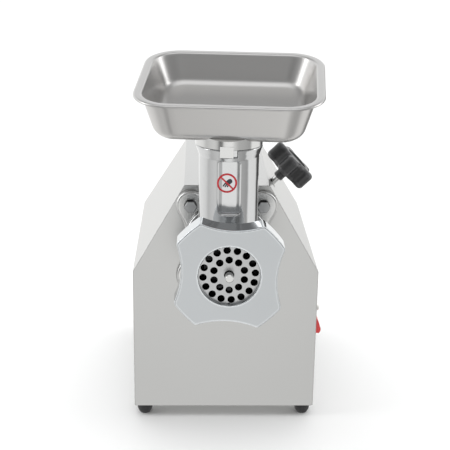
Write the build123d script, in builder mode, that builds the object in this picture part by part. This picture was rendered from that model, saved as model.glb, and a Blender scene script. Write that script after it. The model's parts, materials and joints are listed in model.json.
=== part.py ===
from build123d import *
import math
import os

# Countertop electric meat grinder: folded steel housing, geared motor inside, and a cast grinding
# head that pulls out of the front. Millimetres, +X to the right seen from the front, +Y to the
# rear, +Z up. The origin is on the surface the grinder stands on, below the front panel's face.

# ---- driving dimensions: housing ----
sheet = 1.2                    # thickness of the folded steel
bend = 1.6                     # outside radius of a folded edge
foot_height = 15.0
base_z = foot_height           # underside of the housing
body_width = 220.0
body_depth = 279.0
shoulder_z = base_z + 177.0    # where the sides start to lean in
roof_z = base_z + 283.0
roof_width = 99.0
roof_depth = 229.0             # the back leans forward above the shoulder
flange_lip = 16.0              # inward return along the bottom edges
foot_x, foot_front, foot_rear = 98.0, 15.0, 264.0

# ---- driving dimensions: grinding head ----
axis_z = base_z + 217.0        # height of the output shaft
throat_y = -47.0
throat_radius = 33.0
throat_bore, throat_foot_bore = 25.0, 23.5
throat_step = 262.0            # above the worm, where the throat's bore narrows
throat_top = 360.0
spigot_radius = 30.0
spigot_end = 72.0
socket_clearance = 0.05
flange_thickness = 8.0
bolt_x, bolt_z = 42.0, 44.0    # flange bolts, from the output axis
auger_bore = 27.5
nose_front, nose_radius = -113.6, 42.0
chamber_radius, chamber_rear = 35.2, -97.5
plate_front, plate_rear, plate_radius = -115.6, -107.6, 34.9
hole_radius = 4.0              # 8 mm mincing holes
nut_front, nut_rear = -121.0, -95.0
nut_opening, nut_mid, nut_corner = 33.0, 51.5, 67.0
nut_turn = -2.5
stud_radius, stud_front = 4.5, -127.5

# ---- driving dimensions: feed tray ----
tray_tilt, tray_turn = 11.7, -5.5
rim_width, rim_depth, rim_corner, lip_width = 204.5, 166.8, 40.0, 9.5
rim_centre_y, rim_centre_z = 27.0, 426.2     # y from the throat's axis, before the tray is turned
tray_sheet = 1.2
floor_width, floor_front, floor_rear = 158.0, -68.1, 59.4
floor_front_depth, floor_rear_depth = 47.8, 31.4
neck_bore, tray_bottom = 26.5, 12.0

# ---- driving dimensions: gear train, module and teeth ----
first_module, rotor_teeth, idler_teeth = 1.5, 17, 54
second_module, pinion_teeth, output_teeth = 2.5, 17, 35
idler_z = axis_z - second_module * (pinion_teeth + output_teeth) / 2
motor_z = idler_z - first_module * (rotor_teeth + idler_teeth) / 2
backlash = 0.2
pressure_angle = math.radians(20)
case_rear, gasket, cover_rear = 134.0, 0.5, 142.0
motor_radius, motor_front, motor_rear = 62.0, 151.0, 248.0

# ---- driving dimensions: clamp screw ----
clamp_angle, clamp_y, screw_radius = 44.5, 56.0, 4.0
boss_end, knob_start, knob_end = 66.0, 97.0, 120.0

# ---- fasteners and small fittings ----
bolt_radius, bolt_flats, bolt_head, bolt_length, bolt_turn = 4.0, 13.0, 5.3, 26.0, 0
washer_radius, washer_thickness = 8.0, 1.6
flange_disc, flange_ear = 49.0, 16.5
foot_screw, side_screw, side_screw_y = 2.0, 2.0, 268.0
side_screw_heights = (40.0, 110.0, 175.0)
foot_places = [(x, y) for y in (foot_front, foot_rear) for x in (-foot_x, foot_x)]
louvre_z, louvre_columns, louvre_rows = 130.0, 3, 6
louvre_length, louvre_height, louvre_pitch_x, louvre_pitch_z = 38.0, 4.5, 48.0, 11.0
output_bearing = (12.5, 26.0, 15.0)     # bore radius, outer radius, width
rotor_bearing = (8.5, 20.0, 12.0)
output_bearing_ys, rotor_bearing_ys = (89.5, 143.5), (146.0, 251.0)
idler_bush, bush_radius, shank_radius = 11.5, 16.0, 12.0
tang_size, knife_square, key_width, key_sink = 15.0, 12.0, 5.0, 2.2
tie_circle, tie_radius = 67.0, 2.5
seat_face, seat_radius, nut_radius_seat = -8.3, 50.0, 40.0
flat_y, flat_width, flat_bottom = throat_y - 30.6, 22.5, 287.0
key_pin_span = (-113.0, -108.2)
auger_rear, auger_front, auger_twist, auger_lobe = -17.0, -98.0, 900.0, 52.0
pad_start, pad_length, knob_turn = 30.35, 4.0, 20.0
capacitor_x, capacitor_z, terminal_x = -84.0, 42.0, -84.0
gland_x, gland_z, gland_thread, gland_bore = -70.0, 45.0, 7.5, 3.6
switch_y, switch_z, reset_z = 25.0, 115.7, 136.4
switch_cutout, switch_well, switch_bezel = (19.0, 26.6), (16.0, 25.2), (22.0, 28.0)
reset_collar, reset_nut = 4.6, 5.2
right_wall = Plane(origin=(body_width / 2, switch_y, switch_z), x_dir=(0, 1, 0), z_dir=(1, 0, 0))

os.makedirs("parts", exist_ok=True)


def write(piece, name):
    """Labels a finished piece and writes its STEP file."""
    piece.part.label = name
    export_step(piece.part, f"parts/{name}.step")


def facing(y):
    """Plane square to the output axis, seen from the front: local x is +X and local y is +Z."""
    return Plane(origin=(0, y, 0), x_dir=(1, 0, 0), z_dir=(0, -1, 0))


def turned(points, z=axis_z, x=0.0, mode=Mode.ADD):
    """Turns an outline of (y, radius) points about an axis along Y at x, z."""
    with BuildSketch(Plane(origin=(x, 0, z), x_dir=(0, 1, 0), z_dir=(1, 0, 0))) as outline:
        with BuildLine():
            Polyline(*points, close=True)
        make_face()
    revolve(outline.sketch, axis=Axis((x, 0, z), (0, 1, 0)), mode=mode)


def ring(front, rear, inner, outer, z=axis_z, x=0.0, mode=Mode.ADD):
    """A plain ring or disc about an axis along Y."""
    turned([(front, inner), (rear, inner), (rear, outer), (front, outer)], z, x, mode)


def upright(points, x=0.0, y=0.0, mode=Mode.ADD):
    """Turns an outline of (radius, z) points about a vertical axis at x, y."""
    with BuildSketch(Plane(origin=(x, y, 0), x_dir=(1, 0, 0), z_dir=(0, -1, 0))) as outline:
        with BuildLine():
            Polyline(*points, close=True)
        make_face()
    revolve(outline.sketch, axis=Axis((x, y, 0), (0, 0, 1)), mode=mode)


def house_outline(y):
    """The housing's front outline as a sketch at y."""
    with BuildSketch(facing(y)) as outline:
        with BuildLine():
            Polyline(
                (-body_width / 2, base_z), (body_width / 2, base_z),
                (body_width / 2, shoulder_z), (roof_width / 2, roof_z),
                (-roof_width / 2, roof_z), (-body_width / 2, shoulder_z), close=True)
        make_face()
        fillet(outline.vertices(), bend)
    return outline.sketch


def back_y(z, inset):
    """Distance of the leaning back from the front at height z, moved in by inset."""
    run, rise = body_depth - roof_depth, roof_z - shoulder_z
    length = math.hypot(run, rise)
    return body_depth - (inset + run / length * (z - shoulder_z)) / (rise / length)


def flange_outline(y, disc, ear):
    """Round flange with four bolt ears as a sketch at y."""
    with BuildSketch(facing(y)) as outline:
        with Locations((0, axis_z)):
            Circle(disc)
            with GridLocations(2 * bolt_x, 2 * bolt_z, 2, 2):
                Circle(ear)
        fillet(outline.vertices(), 12)
    return outline.sketch


# radial line of the clamp screw, and a plane square to it at distance r from the output axis
clamp_dir = Vector(math.cos(math.radians(clamp_angle)), 0, math.sin(math.radians(clamp_angle)))


def across_clamp(r):
    origin = Vector(0, clamp_y, axis_z) + clamp_dir * r
    return Plane(origin=origin, x_dir=(0, 1, 0), z_dir=clamp_dir)


# ======================= housing =======================

with BuildPart() as housing_wrap:
    with BuildSketch(facing(body_depth - sheet)) as section:
        add(house_outline(0))
        offset(amount=-sheet, mode=Mode.SUBTRACT)
    extrude(amount=body_depth - 2 * sheet)
    # the bottom stays only as two narrow returns
    with Locations((0, body_depth / 2, base_z)):
        Box(body_width - 2 * flange_lip, body_depth, 4 * sheet, mode=Mode.SUBTRACT)
    # the sheet ends against the leaning back
    with BuildSketch(Plane.YZ) as behind:
        with BuildLine():
            Polyline(
                (back_y(shoulder_z - 2, sheet), shoulder_z - 2), (back_y(roof_z + 5, sheet), roof_z + 5),
                (body_depth + 5, roof_z + 5), (body_depth + 5, shoulder_z - 2), close=True)
        make_face()
    extrude(amount=body_width, both=True, mode=Mode.SUBTRACT)
    # clearance hole for the clamp screw in the right slope
    with BuildSketch(across_clamp(boss_end + 4)):
        Circle(screw_radius + 3)
    extrude(amount=20, mode=Mode.SUBTRACT)
    # cut-outs for the switch and the overload reset in the right wall
    with BuildSketch(right_wall):
        Rectangle(*switch_cutout)
        with Locations((0, reset_z - switch_z)):
            Circle(reset_collar)
    extrude(amount=-2 * sheet, mode=Mode.SUBTRACT)
    # holes for the foot screws and the side screws
    with Locations(*[Location((x, y, base_z + sheet)) for x, y in foot_places]):
        Hole(foot_screw + 0.2, depth=3 * sheet)
    for side in (-1, 1):
        with BuildSketch(Plane(origin=(side * body_width / 2, 0, 0), x_dir=(0, side, 0), z_dir=(side, 0, 0))):
            with Locations(*[(side * side_screw_y, z) for z in side_screw_heights]):
                Circle(side_screw + 0.2)
        extrude(amount=-2 * sheet, mode=Mode.SUBTRACT)
write(housing_wrap, "housing_wrap")

with BuildPart() as front_panel:
    with BuildSketch(facing(0)) as face:
        add(house_outline(0))
        with Locations((0, axis_z)):
            Circle(spigot_radius + 3, mode=Mode.SUBTRACT)
            with GridLocations(2 * bolt_x, 2 * bolt_z, 2, 2):
                Circle(bolt_radius + 0.3, mode=Mode.SUBTRACT)
    extrude(amount=-sheet)
    fillet(front_panel.faces().sort_by(Axis.Y)[0].outer_wire().edges(), 0.7)
write(front_panel, "front_panel")

with BuildPart() as rear_cover:
    # thin folded section seen from the side, cut to the housing's outline
    with BuildSketch(Plane.YZ) as fold:
        with BuildLine():
            Polyline(
                (body_depth, base_z), (body_depth, shoulder_z), (back_y(roof_z, 0), roof_z),
                (back_y(roof_z, sheet), roof_z), (body_depth - sheet, shoulder_z - 0.224 * sheet),
                (body_depth - sheet, base_z), close=True)
        make_face()
    extrude(amount=body_width, both=True)
    with BuildSketch(facing(body_depth)) as outline:
        add(house_outline(0))
    extrude(amount=body_depth, mode=Mode.INTERSECT)
    # side returns behind the wrap
    for side in (-1, 1):
        with Locations((side * (body_width / 2 - 1.5 * sheet), side_screw_y, (base_z + shoulder_z) / 2)):
            Box(sheet, 2 * (body_depth - sheet - side_screw_y), shoulder_z - base_z - 20)
    # air slots and the hole for the cable gland
    with BuildSketch(facing(body_depth)):
        with Locations((0, louvre_z)):
            with GridLocations(louvre_pitch_x, louvre_pitch_z, louvre_columns, louvre_rows):
                SlotOverall(louvre_length, louvre_height)
        with Locations((gland_x, gland_z)):
            Circle(gland_thread + 0.2)
    extrude(amount=2 * sheet, mode=Mode.SUBTRACT)
    for side in (-1, 1):
        with BuildSketch(Plane(origin=(side * body_width / 2, 0, 0), x_dir=(0, side, 0), z_dir=(side, 0, 0))):
            with Locations(*[(side * side_screw_y, z) for z in side_screw_heights]):
                Circle(side_screw + 0.02)
        extrude(amount=-4 * sheet, mode=Mode.SUBTRACT)
write(rear_cover, "rear_cover")

with BuildPart() as base_plate:
    with BuildSketch(Plane.XY.offset(base_z + sheet)):
        with Locations((0, body_depth / 2)):
            Rectangle(body_width - 2 * sheet - 2, body_depth - 4 * sheet)
            with GridLocations(24, 0, 5, 1):
                SlotOverall(60, 5, rotation=90, mode=Mode.SUBTRACT)
        with Locations(*foot_places):
            Circle(foot_screw + 0.2, mode=Mode.SUBTRACT)
        for side in (-1, 1):
            with Locations((side * (body_width / 2 - sheet), side_screw_y)):
                Rectangle(8, 36, mode=Mode.SUBTRACT)
    extrude(amount=sheet)
write(base_plate, "base_plate")

with BuildPart() as rubber_feet:
    # four rubber domes, each with a recess for its screw
    for place in foot_places:
        upright([(foot_screw + 0.2, 5), (foot_screw + 0.2, base_z), (9.4, base_z), (9.8, base_z - 0.6), (9.8, 9),
                 (8.6, 4), (6.9, 1), (6.2, 0), (4.6, 0), (4.6, 5)], *place)
write(rubber_feet, "rubber_feet")

with BuildPart() as foot_screws:
    for place in foot_places:
        upright([(0, 2.4), (4.0, 2.4), (4.0, 5), (foot_screw, 5), (foot_screw, base_z + 9), (0, base_z + 9)],
                *place)
write(foot_screws, "foot_screws")

with BuildPart() as foot_nuts:
    with BuildSketch(Plane.XY.offset(base_z + 2 * sheet)):
        with Locations(*foot_places):
            RegularPolygon(4.0, 6)
            Circle(foot_screw + 0.03, mode=Mode.SUBTRACT)
    extrude(amount=3.2)
write(foot_nuts, "foot_nuts")

with BuildPart() as side_screws:
    for side in (-1, 1):
        wall = Plane(origin=(side * body_width / 2, 0, 0), x_dir=(0, side, 0), z_dir=(side, 0, 0))
        places = [(side * side_screw_y, z) for z in side_screw_heights]
        with BuildSketch(wall):
            with Locations(*places):
                Circle(3.8)
        extrude(amount=1.9)
        with BuildSketch(wall):
            with Locations(*places):
                Circle(side_screw)
        extrude(amount=-8)
        with BuildSketch(wall.offset(1.9)):
            with Locations(*places):
                Rectangle(4.4, 0.9)
                Rectangle(0.9, 4.4)
        extrude(amount=-1.1, mode=Mode.SUBTRACT)
write(side_screws, "side_screws")

# ======================= head mounting =======================

with BuildPart() as mounting_flange:
    with BuildSketch(facing(-0.05)) as outline:
        add(flange_outline(0, flange_disc, flange_ear))
        with Locations((0, axis_z)):
            Circle(spigot_radius + socket_clearance, mode=Mode.SUBTRACT)
            with GridLocations(2 * bolt_x, 2 * bolt_z, 2, 2):
                Circle(bolt_radius + 0.2, mode=Mode.SUBTRACT)
    extrude(amount=flange_thickness - 0.05)
    fillet(mounting_flange.faces().sort_by(Axis.Y)[0].outer_wire().edges(), 1.2)
write(mounting_flange, "mounting_flange")

with BuildPart() as flange_washers:
    with BuildSketch(facing(-flange_thickness)):
        with Locations((0, axis_z)):
            with GridLocations(2 * bolt_x, 2 * bolt_z, 2, 2):
                Circle(washer_radius)
                Circle(bolt_radius + 0.2, mode=Mode.SUBTRACT)
    extrude(amount=washer_thickness)
write(flange_washers, "flange_washers")

with BuildPart() as flange_bolts:
    head_plane = facing(-flange_thickness - washer_thickness)
    with BuildSketch(head_plane):
        with Locations((0, axis_z)):
            with GridLocations(2 * bolt_x, 2 * bolt_z, 2, 2):
                RegularPolygon(bolt_flats / 2, 6, major_radius=False, rotation=bolt_turn)
    extrude(amount=bolt_head)
    # the hexagons' front corners are turned off
    chamfer(flange_bolts.faces().filter_by(Axis.Y).group_by(Axis.Y)[0].edges(), 0.6)
    with BuildSketch(head_plane):
        with Locations((0, axis_z)):
            with GridLocations(2 * bolt_x, 2 * bolt_z, 2, 2):
                Circle(bolt_radius)
    extrude(amount=-bolt_length)
write(flange_bolts, "flange_bolts")

# ======================= gearbox =======================


def case_outline(y, margin):
    """Outline of the gear chamber with its walls moved out by margin, as a sketch at y."""
    with BuildSketch(facing(y)) as outline:
        for z, radius in ((axis_z, 48.5), (idler_z, 46.0), (motor_z, 24.0)):
            with Locations((0, z)):
                Circle(radius + margin)
        make_hull(outline.edges())
    return outline.sketch


def screw_circle(y, radius):
    """Places of the eight cover screws as circles at y."""
    with BuildSketch(facing(y)) as holes:
        for z, reach, angles in (
                (axis_z, 57.0, (0, 60, 120, 180)),
                (idler_z, 54.5, (-14, 194)),
                (motor_z, 32.5, (-60, -120))):
            for angle in angles:
                with Locations((reach * math.cos(math.radians(angle)), z + reach * math.sin(math.radians(angle)))):
                    Circle(radius)
    return holes.sketch


with BuildPart() as gearbox_case:
    # flange behind the front panel, socket tube and gear chamber
    extrude(flange_outline(sheet, flange_disc, flange_ear - 1.5), amount=-8)
    ring(sheet, 80, 0, 40)
    extrude(case_outline(78, 4.5), amount=-(case_rear - 78))
    extrude(case_outline(case_rear - 8, 8), amount=-8)
    # clamp screw boss, radial
    with BuildSketch(across_clamp(spigot_radius + 5)):
        Circle(11)
    extrude(amount=boss_end - spigot_radius - 5)
    extrude(case_outline(86, 0), amount=-(case_rear - 86), mode=Mode.SUBTRACT)
    # bearing bosses inside the chamber
    ring(84, 98, 0, 31)
    ring(84, 98, 0, 16, z=idler_z)
    # bores: head socket, oil seal, bearing seat, idler bush
    ring(sheet - 1, 75, 0, spigot_radius + socket_clearance, mode=Mode.SUBTRACT)
    ring(74, 80, 0, 19, mode=Mode.SUBTRACT)
    ring(79, 99, 0, output_bearing[1], mode=Mode.SUBTRACT)
    ring(82, 99, 0, idler_bush, z=idler_z, mode=Mode.SUBTRACT)
    with BuildSketch(across_clamp(spigot_radius - 4)):
        Circle(screw_radius + 0.05)
    extrude(amount=boss_end, mode=Mode.SUBTRACT)
    with BuildSketch(facing(0)):
        with Locations((0, axis_z)):
            with GridLocations(2 * bolt_x, 2 * bolt_z, 2, 2):
                Circle(bolt_radius + 0.02)
    extrude(amount=-22, mode=Mode.SUBTRACT)
    extrude(screw_circle(case_rear, 2.52), amount=16, mode=Mode.SUBTRACT)
write(gearbox_case, "gearbox_case")

with BuildPart() as gearbox_gasket:
    with BuildSketch(facing(case_rear)):
        add(case_outline(0, 8))
        add(case_outline(0, 0.5), mode=Mode.SUBTRACT)
        add(screw_circle(0, 2.7), mode=Mode.SUBTRACT)
    extrude(amount=-gasket)
write(gearbox_gasket, "gearbox_gasket")

with BuildPart() as gearbox_cover:
    cover_front = case_rear + gasket
    extrude(case_outline(cover_front, 8), amount=-(cover_rear - cover_front))
    ring(cover_front, cover_rear, 0, 72, z=motor_z)
    # bosses for the rear bearings and a register for the motor shell
    ring(cover_rear - 1, 154, 0, 31)
    ring(cover_rear - 1, 150, 0, 15, z=idler_z)
    ring(cover_rear - 1, 152, 0, 25, z=motor_z)
    ring(cover_rear - 1, motor_front, 54, motor_radius, z=motor_z)
    ring(motor_front - 1, motor_front + 4, 54, motor_radius - 2.05, z=motor_z)
    ring(cover_front - 1, 151, 0, output_bearing[1], mode=Mode.SUBTRACT)
    ring(cover_front - 1, 147, 0, idler_bush, z=idler_z, mode=Mode.SUBTRACT)
    ring(cover_front - 1, 153, 0, 15, z=motor_z, mode=Mode.SUBTRACT)
    ring(140, 153, 0, rotor_bearing[1], z=motor_z, mode=Mode.SUBTRACT)
    extrude(screw_circle(cover_front, 2.7), amount=-(cover_rear - cover_front), mode=Mode.SUBTRACT)
    with BuildSketch(facing(cover_front)):
        with Locations((0, motor_z)):
            with PolarLocations(tie_circle, 4, 45):
                Circle(tie_radius + 0.02)
    extrude(amount=-20, mode=Mode.SUBTRACT)
write(gearbox_cover, "gearbox_cover")

with BuildPart() as gearbox_cover_screws:
    extrude(screw_circle(cover_rear, 4.2), amount=-5)
    extrude(screw_circle(cover_rear + 5, 2.1), amount=3, mode=Mode.SUBTRACT)
    extrude(screw_circle(cover_rear, 2.5), amount=22)
write(gearbox_cover_screws, "gearbox_cover_screws")

# ======================= bearings =======================


def race_outline(width, inner, outer, bore, rim):
    """Section of a deep-groove race: a bar from bore to rim less the ball's groove."""
    ball = 0.3 * (outer - inner)
    pitch = (inner + outer) / 2
    with BuildSketch() as section:
        with Locations((0, (bore + rim) / 2)):
            Rectangle(width, rim - bore)
        with Locations((0, pitch)):
            Circle(ball + 0.05, mode=Mode.SUBTRACT)
    return section.sketch


def races(z, centres, size, outside):
    """Adds the inner or outer races of the like bearings on one shaft."""
    inner, outer, width = size
    ball = 0.3 * (outer - inner)
    pitch = (inner + outer) / 2
    bore, rim = (pitch + 0.45 * ball, outer) if outside else (inner, pitch - 0.45 * ball)
    for y in centres:
        plane = Plane(origin=(0, y, z), x_dir=(0, 1, 0), z_dir=(1, 0, 0))
        revolve(plane * race_outline(width, inner, outer, bore, rim), axis=Axis((0, y, z), (0, 1, 0)))


with BuildPart() as output_bearing_inner_races:
    races(axis_z, output_bearing_ys, output_bearing, False)
write(output_bearing_inner_races, "output_bearing_inner_races")

with BuildPart() as rotor_bearing_inner_races:
    races(motor_z, rotor_bearing_ys, rotor_bearing, False)
write(rotor_bearing_inner_races, "rotor_bearing_inner_races")

with BuildPart() as bearing_outer_races:
    races(axis_z, output_bearing_ys, output_bearing, True)
    races(motor_z, rotor_bearing_ys, rotor_bearing, True)
write(bearing_outer_races, "bearing_outer_races")

with BuildPart() as bearing_balls:
    for z, centres, size in (
            (axis_z, output_bearing_ys, output_bearing), (motor_z, rotor_bearing_ys, rotor_bearing)):
        for y in centres:
            with Locations(Plane(origin=(0, y, z), x_dir=(1, 0, 0), z_dir=(0, -1, 0))):
                with PolarLocations((size[0] + size[1]) / 2, 8):
                    Sphere(0.3 * (size[1] - size[0]))
write(bearing_balls, "bearing_balls")

with BuildPart() as idler_bushes:
    for front, rear in ((83, 96), (137, 147)):
        ring(front, rear, 8.55, idler_bush, z=idler_z)
write(idler_bushes, "idler_bushes")

with BuildPart() as output_oil_seal:
    ring(75.3, 78.7, 17.1, 19)
write(output_oil_seal, "output_oil_seal")

# ======================= gears and shafts =======================


def gear_outline(y, z, teeth, module, phase):
    """Involute gear as a sketch at y, with one tooth centred on phase degrees."""
    pitch = module * teeth / 2
    base = pitch * math.cos(pressure_angle)
    root, tip = pitch - 1.25 * module, pitch + 0.98 * module
    half_tooth = (math.pi * module / 2 - backlash / 2) / (2 * pitch)
    involute = math.tan(pressure_angle) - pressure_angle
    steps = 4
    start = max(base, root)
    flank = [(root, half_tooth + involute)] if base > root else []
    for i in range(steps):
        radius = start + (tip - start) * i / (steps - 1)
        roll = math.acos(min(1.0, base / radius))
        flank.append((radius, half_tooth + involute - (math.tan(roll) - roll)))
    points = []
    for tooth in range(teeth):
        centre = math.radians(phase) + 2 * math.pi * tooth / teeth
        for radius, angle in flank:
            points.append((radius * math.cos(centre - angle), radius * math.sin(centre - angle)))
        for radius, angle in reversed(flank):
            points.append((radius * math.cos(centre + angle), radius * math.sin(centre + angle)))
    with BuildSketch(facing(y)) as outline:
        with BuildLine():
            Polyline(*[(px, pz + z) for px, pz in points], close=True)
        make_face()
    return outline.sketch


# a gap of the upper gear meets a tooth of the lower one
output_phase = -90 + 180 / output_teeth
idler_phase = -90 + 180 / idler_teeth

with BuildPart() as output_shaft:
    turned([(50, 0), (50, 17), (79, 17), (79, 15.5), (82, 15.5), (82, 12.5), (151, 12.5), (151, 0)])
    with BuildSketch(facing(50)):
        with Locations((0, axis_z)):
            Rectangle(tang_size + 0.6, tang_size + 0.6)
    extrude(amount=-24, mode=Mode.SUBTRACT)
    with Locations((0, 109, axis_z + 12.5)):
        Box(key_width, 16, 2 * key_sink, mode=Mode.SUBTRACT)
write(output_shaft, "output_shaft")

with BuildPart() as output_gear:
    extrude(gear_outline(100, axis_z, output_teeth, second_module, output_phase), amount=-18)
    ring(99, 119, 0, 12.5, mode=Mode.SUBTRACT)
    ring(99, 104, 20, 34, mode=Mode.SUBTRACT)
    ring(114, 119, 20, 34, mode=Mode.SUBTRACT)
    with Locations((0, 109, axis_z + 12.5)):
        Box(key_width, 20, 2 * key_sink, mode=Mode.SUBTRACT)
write(output_gear, "output_gear")

with BuildPart() as output_gear_key:
    with Locations((0, 109, axis_z + 12.5)):
        Box(key_width, 16, 2 * key_sink)
write(output_gear_key, "output_gear_key")

with BuildPart() as idler_shaft:
    # shaft with the second-stage pinion cut on it
    ring(84, 146, 0, 8.5, z=idler_z)
    extrude(gear_outline(99.5, idler_z, pinion_teeth, second_module, 90), amount=-19)
write(idler_shaft, "idler_shaft")

with BuildPart() as idler_gear:
    extrude(gear_outline(120, idler_z, idler_teeth, first_module, idler_phase), amount=-12)
    ring(119, 133, 0, 8.5, z=idler_z, mode=Mode.SUBTRACT)
    ring(119, 123, 16, 33, z=idler_z, mode=Mode.SUBTRACT)
    ring(129, 133, 16, 33, z=idler_z, mode=Mode.SUBTRACT)
write(idler_gear, "idler_gear")

with BuildPart() as rotor_shaft:
    # motor shaft with the first-stage pinion cut on its nose
    extrude(gear_outline(119, motor_z, rotor_teeth, first_module, 90), amount=-14)
    ring(132, 158, 0, rotor_bearing[0], z=motor_z)
    ring(158, 243, 0, 11, z=motor_z)
    ring(243, 273, 0, rotor_bearing[0], z=motor_z)
write(rotor_shaft, "rotor_shaft")

# ======================= motor =======================

with BuildPart() as rotor_core:
    ring(168, 228, 11, 34, z=motor_z)
    ring(162, 168, 22, 33, z=motor_z)
    ring(228, 234, 22, 33, z=motor_z)
write(rotor_core, "rotor_core")

with BuildPart() as cooling_fan:
    ring(261, 272, rotor_bearing[0], 14, z=motor_z)
    ring(270, 272, 13, 24, z=motor_z)
    with BuildSketch(facing(262)):
        with Locations((0, motor_z)):
            with PolarLocations(31, 8):
                Rectangle(38, 2)
    extrude(amount=-10)
write(cooling_fan, "cooling_fan")

with BuildPart() as stator_core:
    ring(168, 228, 34.5, motor_radius - 2, z=motor_z)
    # slots for the windings
    with BuildSketch(facing(168)):
        with Locations((0, motor_z)):
            with PolarLocations(44, 24):
                SlotOverall(15, 4.5)
    extrude(amount=-60, mode=Mode.SUBTRACT)
write(stator_core, "stator_core")

with BuildPart() as stator_windings:
    for front, rear in ((156, 168), (228, 240)):
        ring(front, rear, 37, 53.5, z=motor_z)
    fillet(stator_windings.edges().filter_by(GeomType.CIRCLE), 4)
write(stator_windings, "stator_windings")

with BuildPart() as motor_shell:
    ring(motor_front, motor_rear, motor_radius - 2, motor_radius, z=motor_z)
write(motor_shell, "motor_shell")

with BuildPart() as motor_end_bell:
    ring(motor_rear, motor_rear + 5, 0, 72, z=motor_z)
    ring(motor_rear - 3, motor_rear + 1, 54, motor_radius - 2.05, z=motor_z)
    ring(243, 259, 0, 25, z=motor_z)
    ring(242, 246, 0, 13, z=motor_z, mode=Mode.SUBTRACT)
    ring(245, 257, 0, rotor_bearing[1], z=motor_z, mode=Mode.SUBTRACT)
    ring(256, 260, 0, 13, z=motor_z, mode=Mode.SUBTRACT)
    with BuildSketch(facing(motor_rear)):
        with Locations((0, motor_z)):
            with PolarLocations(tie_circle, 4, 45):
                Circle(tie_radius + 0.2)
            with PolarLocations(40, 12, 15):
                Circle(5)
    extrude(amount=-10, mode=Mode.SUBTRACT)
write(motor_end_bell, "motor_end_bell")

with BuildPart() as motor_tie_bolts:
    with BuildSketch(facing(motor_rear + 5)):
        with Locations((0, motor_z)):
            with PolarLocations(tie_circle, 4, 45):
                RegularPolygon(4.6, 6)
    extrude(amount=-3.5)
    with BuildSketch(facing(motor_rear + 5)):
        with Locations((0, motor_z)):
            with PolarLocations(tie_circle, 4, 45):
                Circle(tie_radius)
    extrude(amount=motor_rear + 5 - 136)
write(motor_tie_bolts, "motor_tie_bolts")

with BuildPart() as motor_cradle:
    # folded saddle between the motor and the base plate
    cradle_top = motor_z - 46
    for front in (180, 216):
        with BuildSketch(facing(front)):
            with Locations((0, (base_z + 2 * sheet + cradle_top) / 2)):
                Rectangle(82, cradle_top - base_z - 2 * sheet)
            with Locations((0, motor_z)):
                Circle(motor_radius, mode=Mode.SUBTRACT)
        extrude(amount=-4)
    with Locations((0, 200, base_z + 2 * sheet + 1.5)):
        Box(82, 40, 3)
write(motor_cradle, "motor_cradle")

# ======================= electrics =======================

with BuildPart() as capacitor:
    turned([(60, 0), (60, 20), (128, 20), (128, 18.5), (130, 18.5), (130, 0)], z=capacitor_z, x=capacitor_x)
    with Locations((capacitor_x - 6, 134, capacitor_z), (capacitor_x + 6, 134, capacitor_z)):
        Box(0.8, 8.5, 6)
write(capacitor, "capacitor")

with BuildPart() as capacitor_clip:
    ring(86, 100, 20.05, 21.3, z=capacitor_z, x=capacitor_x)
    with Locations((capacitor_x, 93, base_z + 2 * sheet + 0.6)):
        Box(46, 14, 1.2)
    with Locations((capacitor_x, 93, (base_z + 2 * sheet + capacitor_z - 20) / 2 + 0.2)):
        Box(10, 14, capacitor_z - 20.5 - base_z - 2 * sheet)
    ring(85, 101, 0, 20.05, z=capacitor_z, x=capacitor_x, mode=Mode.SUBTRACT)
write(capacitor_clip, "capacitor_clip")

with BuildPart() as terminal_block:
    with Locations((terminal_x, 190, base_z + 2 * sheet + 7)):
        Box(18, 46, 14)
    with BuildSketch(Plane.XY.offset(base_z + 2 * sheet + 14)):
        with Locations((terminal_x, 190)):
            with GridLocations(9, 11, 2, 4):
                Circle(2.6)
    extrude(amount=-9, mode=Mode.SUBTRACT)
write(terminal_block, "terminal_block")

with BuildPart() as power_switch:
    # bezel outside the wall, body behind it, and an opening for the rocker
    with BuildSketch(right_wall.offset(0.02)):
        RectangleRounded(*switch_bezel, 2.5)
    extrude(amount=1.8)
    fillet(power_switch.faces().sort_by(Axis.X)[-1].edges(), 0.6)
    with BuildSketch(right_wall.offset(0.1)):
        Rectangle(switch_cutout[0] - 0.5, switch_cutout[1] - 0.5)
    extrude(amount=-24)
    with BuildSketch(right_wall.offset(3)):
        Rectangle(*switch_well)
    extrude(amount=-13, mode=Mode.SUBTRACT)
    with Locations((body_width / 2 - 27.5, switch_y, switch_z - 7), (body_width / 2 - 27.5, switch_y, switch_z + 7)):
        Box(8, 6.3, 0.8)
    # seats of the rocker's trunnions
    ring(switch_y - 8.9, switch_y + 8.9, 0, 1.25, z=switch_z, x=body_width / 2 - 2, mode=Mode.SUBTRACT)
write(power_switch, "power_switch")

with BuildPart() as switch_rocker:
    # curved actuator, its lower end standing out in the off position
    with BuildSketch(Plane(origin=(0, switch_y, 0), x_dir=(1, 0, 0), z_dir=(0, -1, 0))) as side_view:
        pivot = Vector(body_width / 2 - 2, switch_z)
        with BuildLine():
            low = (pivot.X + 7.9, pivot.Y - 10.4)
            mid = (pivot.X + 8.4, pivot.Y - 1.0)
            high = (pivot.X + 3.4, pivot.Y + 10.6)
            ThreePointArc(low, (pivot.X + 9.9, pivot.Y - 6), mid)
            ThreePointArc(mid, (pivot.X + 6.8, pivot.Y + 5.4), high)
            Polyline(high, (pivot.X - 1, pivot.Y + 9.6), (pivot.X - 4, pivot.Y), (pivot.X - 1, pivot.Y - 9.8), low)
        make_face()
    extrude(amount=switch_well[0] / 2 - 0.4, both=True)
    ring(switch_y - 8.6, switch_y + 8.6, 0, 1.2, z=switch_z, x=body_width / 2 - 2)
    fillet(switch_rocker.edges().filter_by(Axis.Y).filter_by(lambda e: e.center().X > pivot.X + 3), 0.6)
write(switch_rocker, "switch_rocker")

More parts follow.
